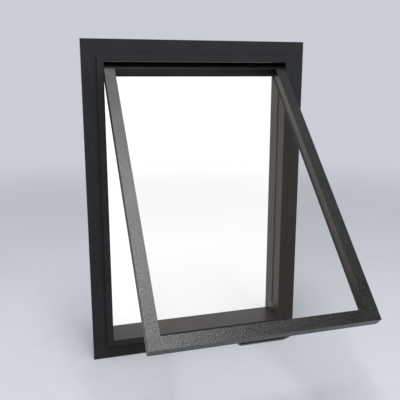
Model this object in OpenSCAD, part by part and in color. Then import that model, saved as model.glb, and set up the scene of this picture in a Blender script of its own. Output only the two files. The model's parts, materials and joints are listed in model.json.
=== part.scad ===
// Top-hung outward-opening window: a flanged box frame, a slim glazed sash, a folding crank
// that drives the hinge shaft through bevel gears, a drive rod and a worm gear inside the left
// jamb, and a lever on the sash's bottom rail that throws two locking bolts.
// Millimetres. +Z is up, +Y points into the room. The origin is the centre of the four
// fixing-lug holes, on the room-side wall face. The sash is drawn open by rest_open.

/* [Frame] */
// Width over the flange
frame_w = 700; // [560:1:900]
// Height over the flange
frame_h = 1000; // [800:1:1300]
// Width of the flange that covers the wall's edge
flange_w = 44; // [40:1:60]
// Thickness of the flange over the wall
flange_t = 8; // [6:0.5:12]
// Thickness of each box-section wall of the frame, seen from the front
box_t = 19.5; // [19:0.5:26]
// How far the box stands in front of the flange
box_proud = 12; // [6:0.5:14]
// Depth of the box, front to back
box_depth = 109; // [104:1:130]
// Wall thickness of every frame extrusion
frame_skin = 2; // [1.8:0.1:2.2]

/* [Fixing] */
// Thickness of the wall between the flange and the fixing lugs
wall_t = 86; // [82:1:90]
// Lug hole spacing across
lug_x = 644; // [640:1:648]
// Lug hole spacing up and down
lug_z = 700; // [500:10:760]
// Radius of the lug holes
lug_hole_r = 2.75; // [2:0.05:3.5]

/* [Sash] */
// Front width of the sash stiles and rails
sash_face = 31; // [30:0.5:34]
// Depth of the sash profile
sash_depth = 30; // [29:0.5:32]
// Depth from the sash's front face to the glass
glass_inset = 25.4; // [25:0.1:26]
// Thickness of the glass pane
glass_t = 4; // [3.8:0.1:4]
// How far the closed sash's face lies behind the box's front
sash_recess = 19.4; // [17:0.1:20]
// Gap at the head and sides of the closed sash
side_gap = 1; // [0.8:0.1:1.2]
// Gap under the closed sash
bottom_gap = 1.5; // [1.3:0.1:2]
// Opening angle at which the model is drawn
rest_open = 45; // [44:1:46]

/* [Drive] */
// Distance of the hinge axis from the sash's top and front faces
axis_inset = 7; // [6.5:0.1:7.5]
// Radius of the hinge shaft
shaft_r = 4; // [3.8:0.1:4.2]
// Gear module of the worm drive
worm_module = 1.25; // [1.2:0.01:1.26]
// Teeth on the full circle of the worm wheel
wheel_teeth = 40; // [39:1:40]
// Pitch radius of the worm
worm_r = 5.5; // [5.3:0.1:5.6]
// Radius of the drive rod
rod_r = 2.5; // [2.3:0.1:2.6]
// Height of the crank shaft
crank_z = -180; // [-240:1:-60]
// Length of the crank arm, shaft to knob
crank_arm_l = 78; // [70:1:86]

/* [Lock] */
// Height of the lock spindle above the sash's bottom edge
spindle_up = 15; // [14.5:0.1:15.5]
// Place of the lock spindle along the bottom rail
spindle_x = -58; // [-90:1:-20]
// Length of the lever from its head to its tip
lever_l = 131; // [100:1:140]

/* [Hidden] */

charcoal = [0.19, 0.20, 0.21];
sash_grey = [0.42, 0.42, 0.41];
steel = [0.70, 0.71, 0.73];
brass = [0.78, 0.62, 0.32];
black = [0.05, 0.05, 0.055];
rubber = [0.08, 0.08, 0.08];
nylon = [0.86, 0.86, 0.82];

margin = flange_w + box_t;
open_w = frame_w - 2 * margin;
open_h = frame_h - 2 * margin;
flange_back = -wall_t;
flange_front = flange_back - flange_t;
box_front = flange_front - box_proud;
box_back = box_front + box_depth;
flange_skin = 3;

sash_w = open_w - 2 * side_gap;
sash_h = open_h - side_gap - bottom_gap;
axis_y = box_front + sash_recess + axis_inset;
axis_z = open_h / 2 - side_gap - axis_inset;
sash_top = axis_inset;
sash_bottom = axis_inset - sash_h;
sash_front = -axis_inset;
sash_back = sash_depth - axis_inset;
glass_overlap = 9;
bead_t = 3;
tape_t = 0.3;
sash_skin = 2;
edge_cut = 3.5;

hollow_x = -open_w / 2 - box_t / 2;
wheel_r = worm_module * wheel_teeth / 2;
wheel_t = 6;
wheel_x = hollow_x - 0.5;
worm_y = axis_y + wheel_r + worm_r;
worm_z = axis_z;
worm_len = 26;
worm_pitch = PI * worm_module;
worm_root_r = worm_r - 1.5;
worm_tip_r = worm_r + 1.2;
rod_top = worm_z + 21;
bevel_r = 6.6;
bevel_face = 3.6;
bevel_teeth = 12;
rod_bottom = crank_z - 26;
crank_x = hollow_x;
fit = 0.05;

housing_w = 34;
housing_h = 92;
housing_x = -open_w / 2 - housing_w / 2;
housing_d = 15;
cover_t = 4;
housing_back = box_back + housing_d;
cover_back = housing_back + cover_t;
screw_places = [-32, 32];
hub_y = cover_back + 0.6;
hub_len = 15;
crank_shaft_r = 4;
shaft_in = 3;
arm_pin_r = 2;
knob_pin_r = 2.5;
arm_pivot_y = hub_y + 9;
arm_t = 7;
knob_len = 26;

pinion_m = 1;
pinion_teeth = 12;
pinion_r = pinion_m * pinion_teeth / 2;
spindle_z = sash_bottom + spindle_up;
lever_gap = 0.4;
base_t = 6;
base_back = sash_back + base_t;
base_screw_x = spindle_x + 28;
base_screw_z = sash_bottom + 7;
lever_foot = base_back + lever_gap;
head_r = 11.5;
grip_t = 12;
spindle_low_r = 2.5;
spindle_r = 3.5;
spindle_end_r = 3;
spindle_in = 8;
bolt_in = 11;
bolt_hole_r = 5.2;
strike_y = axis_y + bolt_in;
strike_z = axis_z + spindle_z;

// Block between two corners
module block(low, high) {
    translate(low) cube(high - low);
}

// Cylinder along X between two places
module rod_x(x0, x1, y, z, r) {
    translate([x0, y, z]) rotate([0, 90, 0]) cylinder(h = x1 - x0, r = r, $fn = 64);
}

// Cylinder along Y between two places
module rod_y(x, y0, y1, z, r) {
    translate([x, y0, z]) rotate([-90, 0, 0]) cylinder(h = y1 - y0, r = r, $fn = 64);
}

// Cylinder along Z between two places
module rod_z(x, y, z0, z1, r) {
    translate([x, y, z0]) cylinder(h = z1 - z0, r = r, $fn = 64);
}

// Puts its children where the open sash is; they are drawn closed, about the hinge axis
module on_sash() {
    translate([0, axis_y, axis_z]) rotate([-rest_open, 0, 0]) children();
}

// ---------------------------------------------------------------- frame

// Section of every frame member: x is the distance out from the opening, y is the depth
module frame_section() {
    inner = box_t - frame_skin;
    difference() {
        union() {
            translate([0, box_front]) square([box_t, box_depth]);
            translate([box_t - 1, flange_front]) square([flange_w + 1, flange_skin]);
            translate([margin - flange_skin, flange_front]) square([flange_skin, flange_t]);
        }
        translate([frame_skin, box_front + frame_skin])
            square([inner - frame_skin, box_depth - 2 * frame_skin]);
    }
}

// Frame member along X above the opening, mitred to the corners
module frame_member(length, opening) {
    half = length / 2;
    intersection() {
        translate([-half, 0, opening / 2]) rotate([90, 0, 90])
            linear_extrude(height = length) mirror([1, 0]) rotate(90) frame_section();
        translate([0, box_back + 5, 0]) rotate([90, 0, 0]) linear_extrude(height = box_depth + 10)
            polygon([[-half, opening / 2 + margin], [half, opening / 2 + margin],
                [half - margin, opening / 2], [margin - half, opening / 2]]);
    }
}

module frame_head() {
    color(charcoal) frame_member(frame_w, open_h);
}

module frame_sill() {
    color(charcoal) rotate([0, 180, 0]) frame_member(frame_w, open_h);
}

module frame_jamb_left() {
    color(charcoal) difference() {
        rotate([0, -90, 0]) frame_member(frame_h, open_w);
        rod_x(-open_w / 2 - 3, -open_w / 2 + 1, axis_y, axis_z, 6);
        rod_x(-open_w / 2 - box_t - 1, -open_w / 2 - box_t + 3, axis_y, axis_z, 6);
        rod_y(crank_x, box_back - 3, box_back + 1, crank_z, 6.5);
        rod_x(-open_w / 2 - 3, -open_w / 2 + 1, strike_y, strike_z, bolt_hole_r);
    }
}

module frame_jamb_right() {
    color(charcoal) difference() {
        rotate([0, 90, 0]) frame_member(frame_h, open_w);
        rod_x(open_w / 2 - 1, open_w / 2 + 3, axis_y, axis_z, 6);
        rod_x(open_w / 2 - 1, open_w / 2 + 3, strike_y, strike_z, bolt_hole_r);
    }
}

// Cast corner keys that join the mitres, inside the hollow sections
module frame_corner_keys() {
    low_y = box_back - frame_skin - 30;
    high_y = box_back - frame_skin - 0.1;
    leg = 48;
    t0 = frame_skin + 0.1;
    t1 = box_t - frame_skin - 0.1;
    color(steel) for (sx = [0, 1], sz = [0, 1]) mirror([sx, 0, 0]) mirror([0, 0, sz]) {
        difference() {
            block([open_w / 2 + t1 - leg, low_y, open_h / 2 + t1 - leg],
                [open_w / 2 + t1, high_y, open_h / 2 + t1]);
            block([open_w / 2 - leg, low_y - 1, open_h / 2 - leg],
                [open_w / 2 + t0, high_y + 1, open_h / 2 + t0]);
        }
    }
}

// Steel angle lugs that hold the frame to the room side of the wall
module fixing_lugs() {
    side = open_w / 2 + box_t;
    color(steel) for (sx = [0, 1], sz = [-1, 1]) mirror([sx, 0, 0]) difference() {
        union() {
            block([side, 0, sz * lug_z / 2 - 18], [side + 30, 3, sz * lug_z / 2 + 18]);
            block([side, -38, sz * lug_z / 2 - 18], [side + 3, 1, sz * lug_z / 2 + 18]);
            rod_x(side + 3, side + 5, -24, sz * lug_z / 2, 4.5);
        }
        rod_y(lug_x / 2, -1, 4, sz * lug_z / 2, lug_hole_r);
    }
}

// Rubber seal between the flange and the wall
module wall_seal() {
    seal_out = 6;
    seal_in = 28;
    color(rubber) translate([0, flange_back, 0]) rotate([90, 0, 0])
        linear_extrude(height = flange_t - flange_skin) difference() {
            square([frame_w - 2 * seal_out, frame_h - 2 * seal_out], center = true);
            square([frame_w - 2 * seal_in, frame_h - 2 * seal_in], center = true);
        }
}

// Rubber stops behind the closed sash, on the head and both jambs
module stop_seals() {
    stop_y = axis_y + sash_back + 0.6;
    stop_t = 4;
    stop_h = 2;
    side = open_w / 2;
    color(rubber) {
        for (sx = [0, 1]) mirror([sx, 0, 0])
            block([side - stop_h, stop_y, -open_h / 2 + 45], [side, stop_y + stop_t, axis_z - 10]);
        block([stop_h - side, stop_y, open_h / 2 - stop_h], [side - stop_h, stop_y + stop_t, open_h / 2]);
    }
}

module shaft_bush_inner() {
    x1 = -open_w / 2;
    color(nylon) difference() {
        union() {
            rod_x(x1 - frame_skin, x1, axis_y, axis_z, 5.95);
            rod_x(x1 - frame_skin - 2.5, x1 - frame_skin, axis_y, axis_z, 8.5);
        }
        rod_x(x1 - 10, x1 + 1, axis_y, axis_z, shaft_r + fit);
    }
}

module shaft_bush_outer() {
    x0 = -open_w / 2 - box_t;
    color(nylon) difference() {
        union() {
            rod_x(x0, x0 + frame_skin, axis_y, axis_z, 5.95);
            rod_x(x0 + frame_skin, x0 + frame_skin + 2, axis_y, axis_z, 8.5);
        }
        rod_x(x0 - 1, x0 + 10, axis_y, axis_z, shaft_r + fit);
    }
}

module pivot_bush_right() {
    x0 = open_w / 2;
    color(nylon) difference() {
        union() {
            rod_x(x0, x0 + frame_skin, axis_y, axis_z, 5.95);
            rod_x(x0 + frame_skin, x0 + 14, axis_y, axis_z, 8.5);
        }
        rod_x(x0 - 1, x0 + 15, axis_y, axis_z, shaft_r + fit);
    }
}

// Nylon block that guides the drive rod inside the jamb
module rod_guide(z0, height) {
    half = box_t / 2 - frame_skin - 0.1;
    color(nylon) difference() {
        block([hollow_x - half, worm_y - 9, z0], [hollow_x + half, worm_y + 9, z0 + height]);
        rod_z(hollow_x, worm_y, z0 - 1, z0 + height + 1, rod_r + fit);
    }
}

module rod_bush_top() {
    rod_guide(worm_z - 34, 12);
}

module rod_bush_middle() {
    rod_guide(110, 12);
}

module rod_bush_bottom() {
    rod_guide(crank_z - 28, 12);
}

// Black strike plates that the locking bolts enter
module strike_plates() {
    color(black) for (sx = [0, 1]) mirror([sx, 0, 0]) difference() {
        block([open_w / 2 - 0.5, strike_y - 12, strike_z - 14], [open_w / 2, strike_y + 40, strike_z + 22]);
        rod_x(open_w / 2 - 2, open_w / 2 + 1, strike_y, strike_z, bolt_hole_r);
        rod_x(open_w / 2 - 2, open_w / 2 + 1, strike_y + 30, strike_z + 4, 2);
    }
}

// ---------------------------------------------------------------- sash

// Section of the sash members: x is the distance in from the outer edge, y is the depth
module sash_section() {
    rebate = sash_face - glass_overlap;
    t = sash_skin;
    difference() {
        union() {
            square([sash_face, glass_inset]);
            square([rebate, sash_depth]);
        }
        polygon([[t, t + edge_cut], [t + edge_cut, t], [sash_face - t, t], [sash_face - t, glass_inset - t],
            [rebate - t, glass_inset - t], [rebate - t, sash_depth - t], [t, sash_depth - t]]);
    }
}

// Side view of the sash, with the rounded top edge that clears the head
module sash_silhouette(width) {
    translate([-width / 2, 0, 0]) rotate([90, 0, 90]) linear_extrude(height = width) union() {
        translate([sash_front, sash_bottom]) square([sash_depth, sash_h - axis_inset]);
        translate([0, sash_bottom]) square([sash_back, sash_h]);
        circle(r = axis_inset, $fn = 96);
    }
}

// Sash member along X at the top, mitred to the corners
module sash_member(length, outer) {
    half = length / 2;
    intersection() {
        translate([-half, sash_front, outer]) rotate([90, 0, 90])
            linear_extrude(height = length) rotate(-90) sash_section();
        translate([0, sash_back + 5, 0]) rotate([90, 0, 0]) linear_extrude(height = sash_depth + 10)
            polygon([[-half, outer], [half, outer],
                [half - sash_face, outer - sash_face], [sash_face - half, outer - sash_face]]);
    }
}

// Turns a top member into the other three; the sash's middle is below the hinge axis
module sash_side(turn, length, outer) {
    translate([0, 0, (sash_top + sash_bottom) / 2]) rotate([0, turn, 0]) sash_member(length, outer);
}

module sash_top_rail() {
    color(sash_grey) on_sash() intersection() {
        sash_side(0, sash_w, sash_h / 2);
        sash_silhouette(sash_w + 2);
    }
}

module sash_bottom_rail() {
    color(sash_grey) on_sash() difference() {
        sash_side(180, sash_w, sash_h / 2);
        rod_y(spindle_x, sash_back - 12, sash_back + 1, spindle_z, 3.6);
    }
}

module sash_stile_left() {
    color(sash_grey) on_sash() difference() {
        intersection() {
            sash_side(-90, sash_h, sash_w / 2);
            sash_silhouette(sash_w + 2);
        }
        rod_x(-sash_w / 2 - 1, -sash_w / 2 + 6, 0, 0, shaft_r + fit);
        rod_x(-sash_w / 2 - 1, -sash_w / 2 + 3, bolt_in, spindle_z, 4.4);
    }
}

module sash_stile_right() {
    color(sash_grey) on_sash() difference() {
        intersection() {
            sash_side(90, sash_h, sash_w / 2);
            sash_silhouette(sash_w + 2);
        }
        rod_x(sash_w / 2 - 6, sash_w / 2 + 1, 0, 0, shaft_r + fit);
        rod_x(sash_w / 2 - 3, sash_w / 2 + 1, bolt_in, spindle_z, 4.4);
    }
}

// Corner keys inside the two bottom mitres, in front of the bolts
module sash_corner_keys() {
    leg = 42;
    t0 = sash_skin + 0.1;
    t1 = sash_face - sash_skin - 0.1;
    y0 = sash_front + sash_skin + edge_cut + 0.1;
    y1 = y0 + 6;
    side = sash_w / 2;
    color(steel) on_sash() for (sx = [0, 1]) mirror([sx, 0, 0]) difference() {
        block([side - t0 - leg, y0, sash_bottom + t0], [side - t0, y1, sash_bottom + t0 + leg]);
        block([side - t1 - leg, y0 - 1, sash_bottom + t1], [side - t1, y1 + 1, sash_bottom + t1 + leg]);
    }
}

module glass_pane() {
    edge = sash_face - glass_overlap + 0.5;
    side = sash_w / 2 - edge;
    y0 = sash_front + glass_inset + tape_t;
    color([0.75, 0.85, 0.88, 0.35]) on_sash()
        block([-side, y0, sash_bottom + edge], [side, y0 + glass_t, sash_top - edge]);
}

// Thin tape that beds the glass on the rebate
module glazing_tape() {
    edge = sash_face - glass_overlap + 1;
    y0 = sash_front + glass_inset;
    mid = (sash_top + sash_bottom) / 2;
    color(rubber) on_sash() translate([0, y0 + tape_t, mid]) rotate([90, 0, 0])
        linear_extrude(height = tape_t) difference() {
            square([sash_w - 2 * edge, sash_h - 2 * edge], center = true);
            square([sash_w - 2 * sash_face + 1, sash_h - 2 * sash_face + 1], center = true);
        }
}

// Four flat beads that hold the glass from the room side
module glazing_beads() {
    out = 13;
    inn = sash_face;
    side = sash_w / 2;
    y0 = sash_back;
    y1 = y0 + bead_t;
    color(sash_grey) on_sash() difference() {
        union() {
            for (sx = [0, 1]) mirror([sx, 0, 0])
                block([side - inn, y0, sash_bottom + inn], [side - out, y1, sash_top - inn]);
            block([out - side, y0, sash_top - inn], [side - out, y1, sash_top - out]);
            block([out - side, y0, sash_bottom + out], [side - out, y1, sash_bottom + inn]);
        }
        rod_y(spindle_x, y0 - 1, y1 + 1, spindle_z, 3.8);
    }
}

// ---------------------------------------------------------------- hinge and worm drive

module hinge_shaft() {
    color(steel) on_sash()
        rod_x(-open_w / 2 - box_t + 0.5, -sash_w / 2 + sash_skin + 22, 0, 0, shaft_r);
}

module pivot_pin_right() {
    color(steel) on_sash()
        rod_x(sash_w / 2 - sash_skin - 22, open_w / 2 + 13, 0, 0, shaft_r);
}

// Solid block inside the top corner of the sash that grips a shaft
module hinge_block(side) {
    low_y = sash_front + sash_skin + 0.2;
    high_y = sash_front + glass_inset - sash_skin - 0.2;
    low_z = sash_top - sash_face + sash_skin + 0.2;
    high_z = sash_top - sash_skin - 0.3;
    cut = edge_cut - 0.3;
    length = sash_face - sash_skin - 6.6;
    color(steel) on_sash() mirror([side, 0, 0]) difference() {
        translate([sash_w / 2 - sash_face + sash_skin + 0.5, 0, 0]) rotate([90, 0, 90])
            linear_extrude(height = length)
            polygon([[low_y, low_z], [high_y, low_z], [high_y, high_z], [low_y + cut, high_z],
                [low_y, high_z - cut]]);
        rod_x(sash_w / 2 - sash_face, sash_w / 2, 0, 0, shaft_r + 0.02);
    }
}

module hinge_block_left() {
    hinge_block(1);
}

module hinge_block_right() {
    hinge_block(0);
}

// Flat gear outline with straight-sided teeth
module gear_outline(r, teeth, root, tip, foot_w, tip_w) {
    circle(r = r - root, $fn = 96);
    for (i = [0 : teeth - 1]) rotate(i * 360 / teeth)
        polygon([[r - root - 0.4, -foot_w / 2], [r + tip, -tip_w / 2], [r + tip, tip_w / 2],
            [r - root - 0.4, foot_w / 2]]);
}

// Toothed sector on the hinge shaft; it turns with the sash
module worm_wheel() {
    step = 360 / wheel_teeth;
    first = -7;
    last = 2;
    color(brass) translate([wheel_x - wheel_t / 2, axis_y, axis_z]) rotate([90, 0, 90]) difference() {
        union() {
            linear_extrude(height = wheel_t) {
                intersection() {
                    circle(r = wheel_r - 1.5, $fn = 96);
                    polygon([[0, 0], [40 * cos((first - 0.6) * step), 40 * sin((first - 0.6) * step)],
                        [60, 0], [40 * cos((last + 0.6) * step), 40 * sin((last + 0.6) * step)]]);
                }
                for (i = [first : last]) rotate(i * step)
                    polygon([[wheel_r - 2, -1.05], [wheel_r + 1.1, -0.45], [wheel_r + 1.1, 0.45],
                        [wheel_r - 2, 1.05]]);
            }
            cylinder(h = wheel_t, r = 8.5, $fn = 64);
        }
        translate([0, 0, -1]) cylinder(h = wheel_t + 2, r = shaft_r + 0.02, $fn = 64);
    }
}

// One ring of a thread's section, at a given angle
function thread_ring(a, lead) = [for (p = [[worm_root_r - 0.6, -1.0], [worm_tip_r, -0.4],
        [worm_tip_r, 0.4], [worm_root_r - 0.6, 1.0]])
    [p[0] * cos(a), p[0] * sin(a), p[1] + lead * a / 360]];

// Helical thread as one swept solid
module thread(turns, lead, steps) {
    n = round(turns * steps);
    rings = [for (i = [0 : n]) thread_ring(360 * i / steps, lead)];
    points = [for (ring = rings) each ring];
    sides = [for (i = [0 : n - 1], k = [0 : 3])
        [4 * i + k, 4 * i + (k + 1) % 4, 4 * (i + 1) + (k + 1) % 4, 4 * (i + 1) + k]];
    polyhedron(points = points, faces = concat([[3, 2, 1, 0]], sides,
        [[4 * n, 4 * n + 1, 4 * n + 2, 4 * n + 3]]), convexity = 8);
}

// The half turn left over puts a gap of the thread against the wheel's middle tooth
module worm() {
    turns = 5;
    color(steel) translate([hollow_x, worm_y, worm_z]) difference() {
        union() {
            translate([0, 0, -worm_len / 2]) cylinder(h = worm_len, r = worm_root_r, $fn = 48);
            rotate(-90) translate([0, 0, -turns * worm_pitch / 2]) thread(turns, worm_pitch, 20);
        }
        translate([0, 0, -worm_len]) cylinder(h = 2 * worm_len, r = rod_r + 0.02, $fn = 48);
    }
}

module drive_rod() {
    color(steel) rod_z(hollow_x, worm_y, rod_bottom, rod_top, rod_r);
}

// Small bevel gear with its pitch cone's tip at the origin and its back at z = bevel_r
module bevel_gear(bore_r, phase) {
    small = (bevel_r - bevel_face) / bevel_r;
    difference() {
        union() {
            translate([0, 0, bevel_r]) mirror([0, 0, 1])
                linear_extrude(height = bevel_face, scale = small) rotate(phase)
                gear_outline(bevel_r, bevel_teeth, 0.9, 0.5, 1.5, 0.7);
            translate([0, 0, bevel_r]) cylinder(h = 4, r = 5, $fn = 48);
        }
        translate([0, 0, -1]) cylinder(h = bevel_r + 8, r = bore_r + 0.02, $fn = 48);
    }
}

module rod_bevel_gear() {
    color(brass) translate([hollow_x, worm_y, crank_z]) bevel_gear(rod_r, 0);
}

module crank_bevel_gear() {
    color(brass) translate([crank_x, worm_y, crank_z]) rotate([-90, 0, 0])
        bevel_gear(rod_r, 180 / bevel_teeth);
}

// ---------------------------------------------------------------- crank

// Outline of the housing with round ends
module housing_outline(grow) {
    for (s = [-1, 1]) translate([0, s * (housing_h - housing_w) / 2])
        circle(r = housing_w / 2 + grow, $fn = 96);
    square([housing_w + 2 * grow, housing_h - housing_w], center = true);
}

// Die-cast bearing housing on the room side of the jamb
module gear_housing() {
    color(charcoal) difference() {
        translate([housing_x, housing_back, crank_z]) rotate([90, 0, 0])
            linear_extrude(height = housing_d) housing_outline(0);
        translate([housing_x, housing_back + 1, crank_z]) rotate([90, 0, 0])
            linear_extrude(height = housing_d - 2) housing_outline(-2.5);
        rod_y(crank_x, box_back - 2, housing_back, crank_z, 6.5);
        for (s = screw_places) rod_y(crank_x, box_back - 2, housing_back, crank_z + s, 2);
    }
}

module housing_cover() {
    color(charcoal) difference() {
        translate([housing_x, cover_back, crank_z]) rotate([90, 0, 0])
            linear_extrude(height = cover_t) housing_outline(0);
        rod_y(crank_x, housing_back - 1, cover_back + 1, crank_z, 7.05);
        for (s = screw_places) rod_y(crank_x, housing_back - 1, cover_back + 1, crank_z + s, 2.2);
    }
}

module cover_screws() {
    slot_w = 1;
    slot_y = cover_back + 0.9;
    color(steel) for (s = screw_places) difference() {
        union() {
            rod_y(crank_x, box_back + 2.5, cover_back, crank_z + s, 1.95);
            rod_y(crank_x, cover_back, cover_back + 1.8, crank_z + s, 3.6);
        }
        block([crank_x - 5, slot_y, crank_z + s - slot_w / 2],
            [crank_x + 5, slot_y + 2, crank_z + s + slot_w / 2]);
    }
}

// Flanged bush that carries the crank shaft in the jamb, housing and cover
module crank_bush() {
    color(nylon) difference() {
        union() {
            rod_y(crank_x, box_back - frame_skin, housing_back, crank_z, 6.45);
            rod_y(crank_x, housing_back, cover_back, crank_z, 7);
        }
        rod_y(crank_x, box_back - 5, cover_back + 1, crank_z, crank_shaft_r + fit);
    }
}

// Stepped shaft: thin in the bevel gear, thick in the bush
module crank_shaft() {
    color(steel) union() {
        rod_y(crank_x, worm_y + bevel_r - 3, worm_y + bevel_r + 6, crank_z, rod_r);
        rod_y(crank_x, worm_y + bevel_r + 4, hub_y + shaft_in, crank_z, crank_shaft_r);
    }
}

// Forked hub on the shaft's end; the folding arm sits in its slot
module crank_hub() {
    slot = arm_t / 2 + 0.4;
    color(black) difference() {
        union() {
            rod_y(crank_x, hub_y, hub_y + hub_len, crank_z, 11);
            rod_y(crank_x, hub_y - 0.3, hub_y + 1, crank_z, 12.5);
        }
        block([crank_x - slot, hub_y + 4, crank_z - 14],
            [crank_x + slot, hub_y + hub_len + 5, crank_z + 14]);
        rod_y(crank_x, hub_y - 1, hub_y + shaft_in + 0.02, crank_z, crank_shaft_r + 0.02);
        rod_x(crank_x - 14, crank_x + 14, arm_pivot_y, crank_z, arm_pin_r + 0.02);
    }
}

module arm_pin() {
    color(steel) rod_x(crank_x - 9, crank_x + 9, arm_pivot_y, crank_z, arm_pin_r);
}

// Flat arm with round ends; it folds about the pin in the hub
module crank_arm() {
    end_z = crank_z - crank_arm_l;
    half = arm_t / 2;
    bar = 2.5;
    color(black) difference() {
        union() {
            rod_x(crank_x - half, crank_x + half, arm_pivot_y, crank_z, 4.6);
            block([crank_x - half, arm_pivot_y - bar, end_z],
                [crank_x + half, arm_pivot_y + bar, crank_z - 3]);
            rod_y(crank_x, arm_pivot_y - half, arm_pivot_y + half, end_z, 8);
        }
        rod_x(crank_x - arm_t, crank_x + arm_t, arm_pivot_y, crank_z, arm_pin_r + fit);
        rod_y(crank_x, arm_pivot_y - 5, arm_pivot_y + 5, end_z, knob_pin_r + 0.02);
    }
}

module knob_pin() {
    end_z = crank_z - crank_arm_l;
    head_y = arm_pivot_y + arm_t / 2 + knob_len + 0.3;
    color(steel) union() {
        rod_y(crank_x, arm_pivot_y - arm_t / 2, head_y + 0.2, end_z, knob_pin_r);
        rod_y(crank_x, head_y, head_y + 1.4, end_z, 4);
    }
}

// Turned knob that spins on its pin
module crank_knob() {
    neck_r = 7;
    belly = 1.5;
    belly_low = 3;
    belly_high = knob_len - 6;
    foot_y = arm_pivot_y + arm_t / 2 + 0.3;
    color(black) translate([crank_x, foot_y, crank_z - crank_arm_l]) rotate([-90, 0, 0])
        rotate_extrude($fn = 96) difference() {
            union() {
                square([neck_r, knob_len - 0.3]);
                translate([0, belly_low]) square([neck_r + belly, belly_high - belly_low]);
                translate([neck_r, belly_low]) circle(r = belly, $fn = 32);
                translate([neck_r, belly_high]) circle(r = belly, $fn = 32);
            }
            translate([-1, -1]) square([1 + knob_pin_r + fit, knob_len + 2]);
        }
}

// ---------------------------------------------------------------- lock on the sash

// Base on the back of the bottom rail; it steps over the glazing bead
module lock_base() {
    x0 = spindle_x - 17;
    x1 = spindle_x + 40;
    color(black) on_sash() difference() {
        union() {
            block([x0, sash_back, sash_bottom + 1.5], [x1, base_back, sash_bottom + 12.8]);
            block([x0, sash_back + bead_t + 0.2, sash_bottom + 12], [x1, base_back, sash_bottom + 27]);
        }
        rod_y(spindle_x, sash_back - 1, base_back + 1, spindle_z, spindle_r + fit);
        rod_y(base_screw_x, sash_back - 1, base_back + 1, base_screw_z, 1.9);
    }
}

module lock_screws() {
    slot_w = 0.8;
    slot_y = base_back - 0.8;
    color(steel) on_sash() difference() {
        rod_y(base_screw_x, sash_back + 0.2, base_back, base_screw_z, 1.85);
        block([base_screw_x - 3, slot_y, base_screw_z - slot_w / 2],
            [base_screw_x + 3, slot_y + 2, base_screw_z + slot_w / 2]);
    }
}

// Lever along the rail: a neck, a round head, and a bar that tapers towards its tip.
// The head stays within spindle_up of the spindle, so that it clears the sill as it turns.
module lock_lever() {
    low = 0.5 - spindle_up;
    tip = lever_l - head_r;
    neck = 5;
    color(black) on_sash() translate([spindle_x, lever_foot, spindle_z]) difference() {
        union() {
            rod_y(0, 0, neck + 1, 0, 10);
            rod_y(0, neck, neck + grip_t, 0, head_r);
            translate([0, neck + grip_t, 0]) rotate([90, 0, 0]) linear_extrude(height = grip_t)
                polygon([[-head_r, -1], [-9, low + 3.2], [-3.4, low], [tip - 18, low], [tip, low + 4],
                    [tip, low + 7], [34, low + 10], [8, 8.2]]);
        }
        rod_y(0, -1, spindle_in, 0, spindle_end_r + 0.02);
    }
}

module lock_spindle() {
    color(steel) on_sash() union() {
        rod_y(spindle_x, 8.5, sash_back - 3, spindle_z, spindle_low_r);
        rod_y(spindle_x, sash_back - 3, base_back + 0.2, spindle_z, spindle_r);
        rod_y(spindle_x, base_back + 0.1, lever_foot + spindle_in, spindle_z, spindle_end_r);
    }
}

module lock_pinion() {
    color(brass) on_sash() translate([spindle_x, 9, spindle_z]) rotate([-90, 0, 0]) difference() {
        linear_extrude(height = 4) gear_outline(pinion_r, pinion_teeth, 1.2, 0.8, 1.7, 0.7);
        translate([0, 0, -1]) cylinder(h = 6, r = spindle_low_r + 0.02, $fn = 48);
    }
}

// Flat bolt with a rack at its inner end and a round tip at the side of the sash.
// It is drawn for the right side, with its rack under the pinion.
module lock_bolt(to_end) {
    rack = pinion_r + 1.3;
    bar = 4;
    inner = -22;
    end = to_end - 0.4;
    low_y = 9.2;
    high_y = 12.8;
    translate([0, 0, -rack - bar]) {
        block([inner, low_y, 0], [end - 40, high_y, bar]);
        block([end - 48, low_y, 0], [end - 40, high_y, rack + bar + 2]);
    }
    for (i = [-5 : 5]) translate([(i + 0.5) * PI * pinion_m, high_y, -rack - 0.2])
        rotate([90, 0, 0]) linear_extrude(height = high_y - low_y)
            polygon([[-0.95, 0], [0.95, 0], [0.35, 2.2], [-0.35, 2.2]]);
    rod_x(end - 42, end, (low_y + high_y) / 2, 0, 4);
}

module lock_bolt_left() {
    color(steel) on_sash() translate([spindle_x, 0, spindle_z]) mirror([1, 0, 0]) mirror([0, 0, 1])
        lock_bolt(sash_w / 2 + spindle_x);
}

module lock_bolt_right() {
    color(steel) on_sash() translate([spindle_x, 0, spindle_z]) lock_bolt(sash_w / 2 - spindle_x);
}

frame_head();
frame_sill();
frame_jamb_left();
frame_jamb_right();
frame_corner_keys();
fixing_lugs();
wall_seal();
stop_seals();
shaft_bush_inner();
shaft_bush_outer();
pivot_bush_right();
rod_bush_top();
rod_bush_middle();
rod_bush_bottom();
strike_plates();
sash_top_rail();
sash_bottom_rail();
sash_stile_left();
sash_stile_right();
sash_corner_keys();
glass_pane();
glazing_tape();
glazing_beads();
hinge_shaft();
hinge_block_left();
hinge_block_right();
pivot_pin_right();
worm_wheel();
lock_base();
lock_screws();
drive_rod();
worm();
rod_bevel_gear();
gear_housing();
housing_cover();
cover_screws();
crank_bush();
crank_shaft();
crank_bevel_gear();
crank_hub();
crank_arm();
arm_pin();
knob_pin();
crank_knob();
lock_lever();
lock_spindle();
lock_pinion();
lock_bolt_left();
lock_bolt_right();
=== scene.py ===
"""The looks of a top-hung window with a slim sash, a folding crank and a lever lock.

Everything is in metres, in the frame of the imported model. Pieces of the sash are drawn closed,
about its hinge axis, and place_on_sash() moves them to where the open sash is.
"""

import json
from math import cos, pi, radians, sin, tau

import bmesh
import bpy
from mathutils import Matrix, Vector


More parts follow.
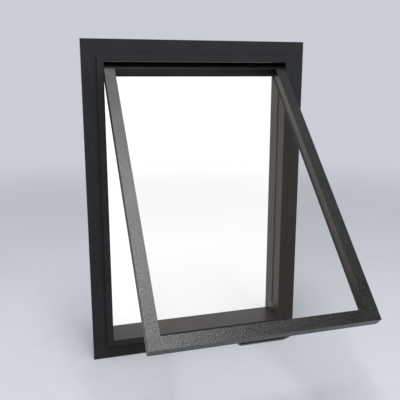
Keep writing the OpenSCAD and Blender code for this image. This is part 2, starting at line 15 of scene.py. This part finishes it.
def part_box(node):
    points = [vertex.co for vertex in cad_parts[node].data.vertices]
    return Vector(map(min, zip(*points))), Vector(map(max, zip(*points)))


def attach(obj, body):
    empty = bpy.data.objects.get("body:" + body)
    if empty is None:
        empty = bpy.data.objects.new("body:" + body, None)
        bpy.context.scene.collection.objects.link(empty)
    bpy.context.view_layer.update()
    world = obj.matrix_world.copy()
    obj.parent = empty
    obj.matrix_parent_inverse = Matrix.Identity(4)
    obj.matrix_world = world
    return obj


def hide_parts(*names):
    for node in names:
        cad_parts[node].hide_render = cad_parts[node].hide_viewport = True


MM = 0.001

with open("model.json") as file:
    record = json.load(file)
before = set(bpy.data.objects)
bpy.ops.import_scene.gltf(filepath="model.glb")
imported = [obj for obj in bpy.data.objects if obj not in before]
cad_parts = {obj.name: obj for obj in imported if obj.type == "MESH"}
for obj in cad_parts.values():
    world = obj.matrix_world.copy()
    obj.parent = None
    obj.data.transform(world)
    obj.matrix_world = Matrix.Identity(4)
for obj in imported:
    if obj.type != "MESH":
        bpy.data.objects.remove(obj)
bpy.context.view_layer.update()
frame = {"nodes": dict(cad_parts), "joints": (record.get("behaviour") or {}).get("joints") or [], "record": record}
record = frame["record"]
body_of = {node: body for body, nodes in record["behaviour"]["bodies"].items() for node in nodes}
slot_of = {row["node"]: row["material_slot"] for row in record["subparts"]}
joints = {joint["name"]: joint for joint in frame["joints"]}

# Places that other pieces are worked out from
head_low, head_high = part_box("frame_head")
sill_low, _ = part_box("frame_sill")
_, jamb_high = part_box("frame_jamb_left")
BOX_FRONT = head_low.y
BOX_BACK = head_high.y
OPEN_HALF_W = -jamb_high.x
OPEN_HALF_H = head_low.z
HINGE = Vector(joints["sash_swing"]["pos_m"])
REST_OPEN = -radians(joints["sash_swing"]["range_deg"][0])
SASH_TO_ROOM = Matrix.Translation(HINGE) @ Matrix.Rotation(-REST_OPEN, 4, "X")
ROOM_TO_SASH = SASH_TO_ROOM.inverted()


# Edge radii in millimetres; nodes that aren't named get OTHER_EDGE
FRAME_EDGE = 0.35
SASH_EDGE = 0.7
MITRE_EDGE = 0.15
OTHER_EDGE = 0.25
EDGE_RADII = {
    "gear_housing": 0.8, "housing_cover": 1.6, "crank_hub": 0.8, "crank_arm": 1.0,
    "lock_base": 0.8, "lock_lever": 1.6, "fixing_lugs": 0.5, "strike_plates": 0.12,
    "frame_corner_keys": 0.8, "sash_corner_keys": 0.6, "hinge_block_left": 0.6,
    "hinge_block_right": 0.6,
}
# Above this radius an edge is rounded in more steps
LARGE_RADIUS = 0.7
# Nodes whose CAD mesh is shown as it is
CARRIED = ("worm", "worm_wheel", "rod_bevel_gear", "crank_bevel_gear", "lock_pinion",
           "lock_bolt_left", "lock_bolt_right", "glazing_tape")

# Points closer than this are one, and faces that turn less than this are one flat face
WELD_DISTANCE = 0.002 * MM
FLAT_ANGLE = radians(0.8)


# ------------------------------------------------------------------ materials


def noise(tree, coords, scale, detail=2.0, stretch=None):
    """A noise texture in the object's own coordinates; stretch makes brushed lines."""
    texture = tree.nodes.new("ShaderNodeTexNoise")
    texture.inputs["Scale"].default_value = scale
    texture.inputs["Detail"].default_value = detail
    source = coords.outputs["Object"]
    if stretch:
        mapping = tree.nodes.new("ShaderNodeMapping")
        mapping.inputs["Scale"].default_value = stretch
        tree.links.new(source, mapping.inputs["Vector"])
        source = mapping.outputs["Vector"]
    tree.links.new(source, texture.inputs["Vector"])
    return texture.outputs["Fac"]


def spread(tree, factor, low, high, narrow=0.3):
    """Maps a noise's middle range to low..high."""
    ranged = tree.nodes.new("ShaderNodeMapRange")
    ranged.inputs["From Min"].default_value = narrow
    ranged.inputs["From Max"].default_value = 1 - narrow
    ranged.inputs["To Min"].default_value = low
    ranged.inputs["To Max"].default_value = high
    tree.links.new(factor, ranged.inputs["Value"])
    return ranged.outputs["Result"]


def blend_colors(tree, factor, dark, light):
    """Mixes two colours by a factor of 0 to 1."""
    mix = tree.nodes.new("ShaderNodeMix")
    mix.data_type = "RGBA"
    tree.links.new(factor, mix.inputs["Factor"])
    mix.inputs["A"].default_value = (*dark, 1)
    mix.inputs["B"].default_value = (*light, 1)
    return mix.outputs["Result"]


def finish(name, dark, light, roughness, metallic=0.0, patch=14.0, grain=900.0, fine_share=0.5,
           bump=0.2, depth=0.1, stretch=None, detail=2.0, specular=0.5):
    """A painted, moulded or metal surface: patches and grain vary its colour, roughness and height."""
    material = bpy.data.materials.new(name)
    material.use_nodes = True
    tree = material.node_tree
    shader = tree.nodes["Principled BSDF"]
    shader.inputs["Metallic"].default_value = metallic
    shader.inputs["Specular IOR Level"].default_value = specular
    coords = tree.nodes.new("ShaderNodeTexCoord")
    patches = noise(tree, coords, patch, 4.0)
    fine = noise(tree, coords, grain, detail, stretch)
    both = tree.nodes.new("ShaderNodeMix")
    both.inputs["Factor"].default_value = fine_share
    tree.links.new(patches, both.inputs["A"])
    tree.links.new(fine, both.inputs["B"])
    share = spread(tree, both.outputs["Result"], 0.0, 1.0)
    tree.links.new(blend_colors(tree, share, dark, light), shader.inputs["Base Color"])
    tree.links.new(spread(tree, both.outputs["Result"], *roughness), shader.inputs["Roughness"])
    height = tree.nodes.new("ShaderNodeBump")
    height.inputs["Strength"].default_value = bump
    height.inputs["Distance"].default_value = depth * MM
    tree.links.new(fine, height.inputs["Height"])
    tree.links.new(height.outputs["Normal"], shader.inputs["Normal"])
    return material


def glass_material():
    """Thin float glass: mostly clear with a faint painted glow, and a mirror at the edges of sight.

    The painted glow is a very faint warm emission that stands in for haze lit by the lamps, so it leaves no grain
    over the dark parts behind the glass.
    """
    material = bpy.data.materials.new("float_glass")
    material.use_nodes = True
    tree = material.node_tree
    tree.nodes.remove(tree.nodes["Principled BSDF"])
    clear = tree.nodes.new("ShaderNodeBsdfTransparent")
    mirror = tree.nodes.new("ShaderNodeBsdfGlossy")
    facing = tree.nodes.new("ShaderNodeLayerWeight")
    facing.inputs["Blend"].default_value = 0.5
    steep = tree.nodes.new("ShaderNodeMath")
    steep.operation = "POWER"
    steep.inputs[1].default_value = 5.0
    tree.links.new(facing.outputs["Facing"], steep.inputs[0])
    coords = tree.nodes.new("ShaderNodeTexCoord")
    streaks = noise(tree, coords, 3.0, 3.0)
    tree.links.new(spread(tree, streaks, 0.015, 0.05), mirror.inputs["Roughness"])
    tint = blend_colors(tree, streaks, (0.941, 0.946, 0.937), (0.949, 0.954, 0.945))
    tree.links.new(tint, clear.inputs["Color"])
    # Painted light: a faint warm glow in the glass, in place of haze lit by the lamps
    painted_glow = tree.nodes.new("ShaderNodeEmission")
    painted_glow_color = blend_colors(tree, streaks, (0.84, 0.62, 0.47), (0.94, 0.72, 0.56))
    tree.links.new(painted_glow_color, painted_glow.inputs["Color"])
    painted_glow_mix = tree.nodes.new("ShaderNodeMixShader")
    painted_glow_share = spread(tree, streaks, 0.0066, 0.0096)
    tree.links.new(painted_glow_share, painted_glow_mix.inputs["Fac"])
    tree.links.new(clear.outputs["BSDF"], painted_glow_mix.inputs[1])
    tree.links.new(painted_glow.outputs["Emission"], painted_glow_mix.inputs[2])
    mirror_share = spread(tree, steep.outputs["Value"], 0.0, 0.4, narrow=0.03)
    mix = tree.nodes.new("ShaderNodeMixShader")
    tree.links.new(mirror_share, mix.inputs["Fac"])
    tree.links.new(painted_glow_mix.outputs["Shader"], mix.inputs[1])
    tree.links.new(mirror.outputs["BSDF"], mix.inputs[2])
    tree.links.new(mix.outputs["Shader"], tree.nodes["Material Output"].inputs["Surface"])
    return material


LOOKS = {
    "frame_paint": finish("frame_powder_coat", (0.0106, 0.0103, 0.0106), (0.0174, 0.0169, 0.0174),
                          (0.36, 0.48), grain=1100, bump=0.25, depth=0.06, specular=0.15),
    "sash_paint": finish("sash_textured_coat", (0.0034, 0.0032, 0.0030), (0.0470, 0.0450, 0.0425),
                         (0.26, 0.42), metallic=0.85, grain=330, fine_share=0.9, bump=1.0, depth=0.6,
                         detail=5.0),
    "housing_paint": finish("housing_coat", (0.014, 0.014, 0.016), (0.022, 0.022, 0.024),
                            (0.32, 0.45), grain=800, bump=0.4, depth=0.12),
    "black_metal": finish("black_coat", (0.004, 0.004, 0.0045), (0.009, 0.009, 0.010),
                          (0.30, 0.44), grain=700, bump=0.3, depth=0.08, specular=0.3),
    "black_plastic": finish("moulded_plastic", (0.010, 0.010, 0.011), (0.020, 0.020, 0.021),
                            (0.42, 0.58), grain=1500, bump=0.5, depth=0.06),
    "rubber": finish("seal_rubber", (0.008, 0.008, 0.008), (0.020, 0.020, 0.020),
                     (0.60, 0.80), grain=600, bump=0.5, depth=0.10),
    "steel": finish("zinc_plate", (0.38, 0.39, 0.41), (0.62, 0.63, 0.64),
                    (0.22, 0.42), metallic=1.0, patch=90, grain=260, bump=0.2, depth=0.04),
    "cast_alloy": finish("cast_alloy", (0.34, 0.35, 0.36), (0.50, 0.51, 0.52),
                         (0.42, 0.62), metallic=0.9, patch=40, grain=420, bump=0.6, depth=0.15),
    "brass": finish("machined_brass", (0.52, 0.36, 0.13), (0.72, 0.53, 0.24),
                    (0.22, 0.38), metallic=1.0, patch=60, grain=350, bump=0.3, depth=0.03,
                    stretch=(1, 12, 1)),
    "nylon": finish("natural_nylon", (0.62, 0.61, 0.55), (0.74, 0.73, 0.67),
                    (0.38, 0.52), patch=60, grain=900, bump=0.3, depth=0.04),
    "glass": glass_material(),
}


# ------------------------------------------------------------------ mesh helpers


def smooth(mesh, angle=38.0):
    """Smooth shading that stays crisp where faces meet sharply."""
    for face in mesh.polygons:
        face.use_smooth = True
    mesh.set_sharp_from_angle(angle=radians(angle))


def piece(name, bm, slot, body, replaces=()):
    """Makes a bmesh into an object that rides on a body with the material of its slot."""
    bmesh.ops.recalc_face_normals(bm, faces=bm.faces)
    mesh = bpy.data.meshes.new(name)
    bm.to_mesh(mesh)
    bm.free()
    smooth(mesh)
    mesh.materials.append(LOOKS[slot])
    made = bpy.data.objects.new(name, mesh)
    bpy.context.scene.collection.objects.link(made)
    weighted = made.modifiers.new("weighted", "WEIGHTED_NORMAL")
    weighted.keep_sharp = True
    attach(made, body)
    if replaces:
        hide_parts(*replaces)
    return made


def flattened(node):
    """A CAD node's mesh with the triangles of each flat face merged."""
    bm = bmesh.new()
    bm.from_mesh(frame["nodes"][node].data)
    bmesh.ops.remove_doubles(bm, verts=bm.verts, dist=WELD_DISTANCE)
    bmesh.ops.dissolve_limit(bm, angle_limit=FLAT_ANGLE, verts=bm.verts, edges=bm.edges)
    return bm


def round_edges(bm, radius, segments=2, along=None, least=32.0):
    """Rounds the sharp edges; with along, only those that run in that direction."""
    picked = []
    for edge in bm.edges:
        if len(edge.link_faces) != 2 or edge.calc_face_angle() < radians(least):
            continue
        run = (edge.verts[1].co - edge.verts[0].co).normalized()
        if along is None or abs(run.dot(along)) > 0.999:
            picked.append(edge)
    bmesh.ops.bevel(bm, geom=picked, offset=radius * MM, offset_type="OFFSET", segments=segments,
                    profile=0.5, affect="EDGES", clamp_overlap=True)


def refined(node, radius, segments=2, along=None):
    """Stands for a CAD node with the same shape and rounded edges.

    With along, the edges in that direction get the radius, and the sharp rest a fine one.
    """
    bm = flattened(node)
    if along is not None:
        round_edges(bm, radius, segments, along)
        round_edges(bm, MITRE_EDGE, 1, least=60.0)
    else:
        round_edges(bm, radius, segments)
    return piece(f"{node}_finished", bm, slot_of[node], body_of[node], (node,))


def swept(bm, profile, corners):
    """Sweeps a closed profile round a closed, mitred loop of corners that lie in one XZ plane.

    A profile point is (inwards, depth), in metres; corners run round the loop in order.
    """
    middle = sum(corners, Vector()) / len(corners)
    rings = []
    for corner in corners:
        inward = Vector((1 if corner.x < middle.x else -1, 0, 1 if corner.z < middle.z else -1))
        rings.append([bm.verts.new(corner + inwards * inward + Vector((0, depth, 0)))
                      for inwards, depth in profile])
    count = len(profile)
    for ring, following in zip(rings, rings[1:] + rings[:1]):
        for i in range(count):
            j = (i + 1) % count
            bm.faces.new((ring[i], ring[j], following[j], following[i]))


def extruded(bm, profile, start, end, across, out):
    """A straight bar with a closed profile of (across, out) points and closed ends."""
    rings = [[bm.verts.new(place + a * across + o * out) for a, o in profile] for place in (start, end)]
    count = len(profile)
    for i in range(count):
        j = (i + 1) % count
        bm.faces.new((rings[0][i], rings[0][j], rings[1][j], rings[1][i]))
    bm.faces.new(reversed(rings[0]))
    bm.faces.new(rings[1])


def place_on_sash(bm):
    """Moves a mesh drawn on the closed sash, about the hinge axis, to where the open sash is."""
    bmesh.ops.transform(bm, matrix=SASH_TO_ROOM, verts=bm.verts)


X_AXIS = Vector((1, 0, 0))
Z_AXIS = Vector((0, 0, 1))
SASH_DOWN = (SASH_TO_ROOM.to_3x3() @ Z_AXIS).normalized()

for node in ("frame_head", "frame_sill"):
    refined(node, FRAME_EDGE, 3, X_AXIS)
for node in ("frame_jamb_left", "frame_jamb_right"):
    refined(node, FRAME_EDGE, 3, Z_AXIS)
for node in ("sash_top_rail", "sash_bottom_rail"):
    refined(node, SASH_EDGE, 3, X_AXIS)
for node in ("sash_stile_left", "sash_stile_right"):
    refined(node, SASH_EDGE, 3, SASH_DOWN)

# ------------------------------------------------------------------ seals and gaskets


def local_box(node):
    """The box of a sash node as it would be on the closed sash, about the hinge axis."""
    points = [ROOM_TO_SASH @ vertex.co for vertex in frame["nodes"][node].data.vertices]
    low = Vector(min(point[axis] for point in points) for axis in range(3))
    high = Vector(max(point[axis] for point in points) for axis in range(3))
    return low, high


def bulb(width, height, segments=10):
    """Half of a flattened round, flat side at out = 0."""
    return [(width / 2 * (1 - cos(pi * i / segments)), height * sin(pi * i / segments) ** 0.8)
            for i in range(segments + 1)]


seal_low, seal_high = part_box("stop_seals")
seal_bm = bmesh.new()
seal_w = seal_high.y - seal_low.y
seal_h = 2 * MM
SEAL_TOP = HINGE.z - 10 * MM
seal_profile = bulb(seal_w, seal_h)
for side in (-1, 1):
    extruded(seal_bm, seal_profile, Vector((side * OPEN_HALF_W, seal_low.y, seal_low.z)),
             Vector((side * OPEN_HALF_W, seal_low.y, SEAL_TOP)), Vector((0, 1, 0)),
             Vector((-side, 0, 0)))
extruded(seal_bm, seal_profile, Vector((seal_low.x + seal_h, seal_low.y, seal_high.z)),
         Vector((seal_high.x - seal_h, seal_low.y, seal_high.z)), Vector((0, 1, 0)), Vector((0, 0, -1)))
piece("stop_seals_finished", seal_bm, "rubber", "frame", ("stop_seals",))

# A wedge of rubber between each side of the glass and what holds it
pane_low, pane_high = local_box("glass_pane")
stile_low, stile_high = local_box("sash_stile_left")
SASH_FACE = stile_high.x - stile_low.x
SASH_HALF_W = -stile_low.x
sight = [Vector((x * (SASH_HALF_W - SASH_FACE), 0, z))
         for x, z in ((-1, stile_low.z + SASH_FACE), (1, stile_low.z + SASH_FACE),
                      (1, stile_high.z - SASH_FACE), (-1, stile_high.z - SASH_FACE))]

# Sections in millimetres: how far in from the edge of the visible glass, and how far off the glass
WEDGE_OUTER = ((0.05, 0.05), (1.2, 0.05), (1.3, 0.3), (1.0, 0.9), (0.55, 1.6), (0.2, 2.0), (0.05, 2.1))
WEDGE_ROOM = ((0.05, 0.05), (2.6, 0.05), (2.8, 0.4), (2.3, 1.1), (1.3, 1.7), (0.5, 2.0), (0.05, 2.1))
for name, section, glass_y, off in (("glazing_wedge_outer", WEDGE_OUTER, pane_low.y, -MM),
                                    ("glazing_wedge_room", WEDGE_ROOM, pane_high.y, MM)):
    wedge_bm = bmesh.new()
    swept(wedge_bm, [(inwards * MM, glass_y + lift * off) for inwards, lift in section], sight)
    place_on_sash(wedge_bm)
    piece(name, wedge_bm, "rubber", "sash")


# ------------------------------------------------------------------ turned parts


def turned(bm, rings, axis_from, axis, sides=96, flutes=0, flute_depth=0.0, fluted=()):
    """A turned ring-shaped solid round an axis; rings are (radius, place) pairs round its section.

    The rings whose numbers are in fluted get shallow finger grooves.
    """
    axis = axis.normalized()
    first = axis.orthogonal().normalized()
    second = axis.cross(first)
    loops = []
    for number, (radius, place) in enumerate(rings):
        loop = []
        for i in range(sides):
            angle = tau * i / sides
            cut = flute_depth * max(0.0, cos(flutes * angle)) ** 0.7 if number in fluted else 0.0
            spoke = (radius - cut) * (cos(angle) * first + sin(angle) * second)
            loop.append(bm.verts.new(axis_from + place * axis + spoke))
        loops.append(loop)
    for loop, following in zip(loops, loops[1:] + loops[:1]):
        for i in range(sides):
            j = (i + 1) % sides
            bm.faces.new((loop[i], loop[j], following[j], following[i]))


# The knob: a turned barrel with finger grooves, a waist at its foot and a dished end round the pin
knob_low, knob_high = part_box("crank_knob")
knob_r = (knob_high.x - knob_low.x) / 2
knob_l = knob_high.y - knob_low.y
knob_foot = Vector(((knob_low.x + knob_high.x) / 2, knob_low.y, (knob_low.z + knob_high.z) / 2))
knob_bore = 2.55 * MM
# Shares of the knob's radius and length, from its foot round to its end
KNOB_OUTLINE = ((0.72, 0.00), (0.79, 0.012), (0.81, 0.04), (0.78, 0.09), (0.79, 0.13), (0.88, 0.17),
                (0.96, 0.205), (0.995, 0.25), (1.0, 0.30), (1.0, 0.42), (1.0, 0.55), (1.0, 0.68),
                (0.995, 0.745), (0.97, 0.80), (0.92, 0.85), (0.85, 0.90), (0.80, 0.94), (0.74, 0.975),
                (0.66, 0.992), (0.56, 1.0), (0.46, 0.995), (0.40, 0.975))
knob_rings = [(knob_r * share, knob_l * place) for share, place in KNOB_OUTLINE]
GRIP_FROM = 0.24
GRIP_TO = 0.75
grooved = [i for i, (_, place) in enumerate(KNOB_OUTLINE) if GRIP_FROM < place < GRIP_TO]
knob_rings += [(knob_bore, knob_l * 0.975), (knob_bore, 0.0)]
knob_bm = bmesh.new()
turned(knob_bm, knob_rings, knob_foot, Vector((0, 1, 0)), sides=144, flutes=12,
       flute_depth=0.75 * MM, fluted=grooved)
piece("crank_knob_finished", knob_bm, "black_plastic", "knob", ("crank_knob",))

# One screw in each strike plate, with a shallow domed head
plate_low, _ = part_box("strike_plates")
SCREW_Y = plate_low.y + 42 * MM
SCREW_Z = plate_low.z + 18 * MM
SCREW_SINK = 0.05 * MM
# Section of the head in millimetres: radius and height above its seat
SCREW_HEAD = ((1.85, 0.0), (1.9, 0.2), (1.9, 0.42), (1.75, 0.58), (1.3, 0.68), (0.7, 0.73),
              (0.25, 0.74), (0.2, 0.35), (0.2, 0.0))
screw_rings = [(radius * MM, lift * MM) for radius, lift in SCREW_HEAD]
screws_bm = bmesh.new()
for side in (-1, 1):
    seat = Vector((side * (OPEN_HALF_W - SCREW_SINK), SCREW_Y, SCREW_Z))
    turned(screws_bm, screw_rings, seat, Vector((-side, 0, 0)), sides=48)
piece("strike_screws", screws_bm, "steel", "frame")

for node in slot_of:
    if node in CARRIED:
        carried = frame["nodes"][node]
        carried.data.materials.clear()
        carried.data.materials.append(LOOKS[slot_of[node]])
    elif not frame["nodes"][node].hide_render:
        radius = EDGE_RADII.get(node, OTHER_EDGE)
        refined(node, radius, 4 if radius > LARGE_RADIUS else 2)


# ------------------------------------------------------------------ camera, light and stage


def area_light(name, place, target, size, watts, color):
    """A rectangular lamp at a place that shines towards a target."""
    data = bpy.data.lights.new(name, "AREA")
    data.shape = "RECTANGLE"
    data.size, data.size_y = size
    data.energy = watts
    data.color = color
    lamp = bpy.data.objects.new(name, data)
    lamp.location = place
    lamp.rotation_euler = (Vector(target) - Vector(place)).to_track_quat("-Z", "Y").to_euler()
    bpy.context.scene.collection.objects.link(lamp)
    return lamp


def set_camera(azimuth, elevation, distance, target, lens=50.0):
    """Azimuth 0 looks along +Y; angles are in degrees."""
    data = bpy.data.cameras.new("camera")
    data.lens = lens
    data.sensor_width = 36.0
    camera = bpy.data.objects.new("camera", data)
    turn, rise = radians(azimuth), radians(elevation)
    back = Vector((sin(turn) * cos(rise), -cos(turn) * cos(rise), sin(rise)))
    camera.location = Vector(target) + distance * back
    camera.rotation_euler = (pi / 2 - rise, 0, turn)
    bpy.context.scene.collection.objects.link(camera)
    bpy.context.scene.camera = camera


set_camera(azimuth=-16.49, elevation=12.66, distance=1.771, target=(0.003, BOX_FRONT, 0.009))

WALL_TINT = (0.590, 0.612, 0.675)
world = bpy.data.worlds.new("studio")
world.use_nodes = True
world.node_tree.nodes["Background"].inputs["Color"].default_value = (*WALL_TINT, 1)
bpy.context.scene.world = world
bpy.context.scene.view_settings.view_transform = "Standard"


def floor_material(near, far):
    """A pale floor that fades out between two distances from the object."""
    material = finish("pale_floor", (0.335, 0.332, 0.340), (0.365, 0.362, 0.370), (0.8, 0.9), patch=1.5,
                      grain=40, bump=0.02)
    tree = material.node_tree
    coords = tree.nodes.new("ShaderNodeTexCoord")
    distance = tree.nodes.new("ShaderNodeVectorMath")
    distance.operation = "LENGTH"
    tree.links.new(coords.outputs["Object"], distance.inputs[0])
    fade = tree.nodes.new("ShaderNodeMapRange")
    fade.interpolation_type = "SMOOTHSTEP"
    fade.inputs["From Min"].default_value = near
    fade.inputs["From Max"].default_value = far
    fade.inputs["To Min"].default_value = 1
    fade.inputs["To Max"].default_value = 0
    tree.links.new(distance.outputs["Value"], fade.inputs["Value"])
    tree.links.new(fade.outputs["Result"], tree.nodes["Principled BSDF"].inputs["Alpha"])
    return material


FLOOR_HALF = 6
FADE_FROM = 1.0
FADE_TO = 4.5
floor_mesh = bpy.data.meshes.new("floor")
floor_bm = bmesh.new()
bmesh.ops.create_grid(floor_bm, x_segments=1, y_segments=1, size=FLOOR_HALF)
floor_bm.to_mesh(floor_mesh)
floor_bm.free()
floor = bpy.data.objects.new("floor", floor_mesh)
floor.location.z = sill_low.z - MM
floor_mesh.materials.append(floor_material(FADE_FROM, FADE_TO))
bpy.context.scene.collection.objects.link(floor)

# The bright room seen through the opening, as an area light that shines, and shows, only
# towards the outside. The warmer lamp beside it doesn't show, and adds to the glow on the
# inner faces.
opening_size = (2 * OPEN_HALF_W, 2 * OPEN_HALF_H)
OUTSIDE = (0, BOX_FRONT - 1, 0)
room_panel = area_light("room_panel", (0, BOX_BACK + 2 * MM, 0), OUTSIDE, opening_size, 0.87,
                        (1.0, 0.97, 0.93))
room_panel.visible_camera = True
room_glow = area_light("room_glow", (0, BOX_BACK + 3 * MM, 0), OUTSIDE, opening_size, 0.62,
                       (1.0, 0.84, 0.66))
# Neither room lamp lights the floor
unlit = bpy.data.collections.new("beyond_the_room_lamps")
unlit.objects.link(floor)
unlit.collection_objects[0].light_linking.link_state = "EXCLUDE"
for lamp in (room_panel, room_glow):
    lamp.light_linking.receiver_collection = unlit
area_light("overhead_softbox", (-0.35, -2.0, 4.2), (-0.2, -0.5, 0), (2.2, 3.0), 415, (0.90, 0.95, 1.0))
area_light("right_softbox", (3.3, -5.6, 0.8), (0.3, -0.1, 0.2), (3.0, 3.0), 36, (0.85, 0.92, 1.0))
